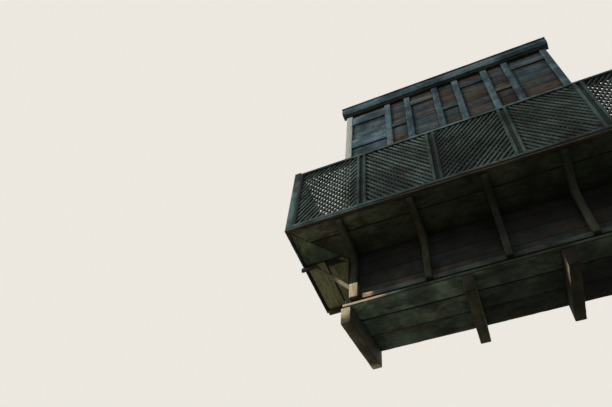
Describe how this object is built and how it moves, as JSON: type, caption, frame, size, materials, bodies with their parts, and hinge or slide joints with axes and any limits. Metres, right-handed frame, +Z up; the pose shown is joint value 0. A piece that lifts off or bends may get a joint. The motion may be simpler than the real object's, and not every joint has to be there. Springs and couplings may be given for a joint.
{
  "type": "mashrabiya screen",
  "caption": "Projecting timber lattice balcony with a seat shelf on knee brackets, a boarded apron and floor on joists, below a tall framed and boarded wall screen.",
  "frame": {"origin": "middle of the back face of the threshold at floor level, on the plane of the wall face", "axes": "+X along the wall to the right as seen from the street, +Y into the wall, +Z up"},
  "size_m": [2.653, 0.76, 4.042],
  "materials": {
    "parapet_paint": "chalky blue-green paint, worn through to bare brown wood along edges",
    "lattice_paint": "dull grey-green paint, weathered and patchy",
    "dark_wood": "dark weathered wood in the shade of the stiles",
    "shelf_paint": "olive-green paint, stained and flaking along the board joints",
    "apron_paint": "bluish-grey paint with brown streaks where it has worn off",
    "bare_wood": "bare weathered softwood, grey-brown with open grain",
    "floor_paint": "thin olive-grey paint over rough boards",
    "joist_paint": "faded paint over grey-brown timber, paler at the sawn ends",
    "screen_paint": "pale blue-grey paint, chalky and streaked",
    "plank_wood": "blue-grey paint mostly worn off brown planks"
  },
  "bodies": {
    "root": {"corner_posts": "parapet_paint", "wall_posts": "parapet_paint", "front_stiles": "parapet_paint", "end_stiles": "parapet_paint", "top_rail_front": "parapet_paint", "top_rail_ends": "parapet_paint", "bottom_rail_front": "parapet_paint", "bottom_rail_ends": "parapet_paint", "base_moulding_front": "parapet_paint", "base_moulding_ends": "parapet_paint", "bay_posts": "dark_wood", "lattice_bay_1": "lattice_paint", "lattice_bay_2": "lattice_paint", "lattice_bay_3": "lattice_paint", "lattice_bay_4": "lattice_paint", "lattice_bay_5": "lattice_paint", "lattice_left": "lattice_paint", "lattice_right": "lattice_paint", "seat_front": "shelf_paint", "seat_left": "shelf_paint", "seat_right": "shelf_paint", "knee_bracket_1": "shelf_paint", "knee_bracket_2": "shelf_paint", "knee_bracket_3": "shelf_paint", "knee_bracket_4": "shelf_paint", "knee_bracket_5": "shelf_paint", "apron_front": "apron_paint", "apron_ends": "apron_paint", "edge_rails": "bare_wood", "corner_blocks": "bare_wood", "wall_cleats": "bare_wood", "end_braces": "bare_wood", "threshold": "bare_wood", "header_strip": "bare_wood", "floor_boards": "floor_paint", "joist_1": "joist_paint", "joist_2": "joist_paint", "joist_3": "joist_paint", "joist_4": "joist_paint", "screen_sill": "screen_paint", "jambs": "screen_paint", "mullions": "screen_paint", "cross_rails": "screen_paint", "header": "screen_paint", "planks": "plank_wood"}
  },
  "joints": []
}
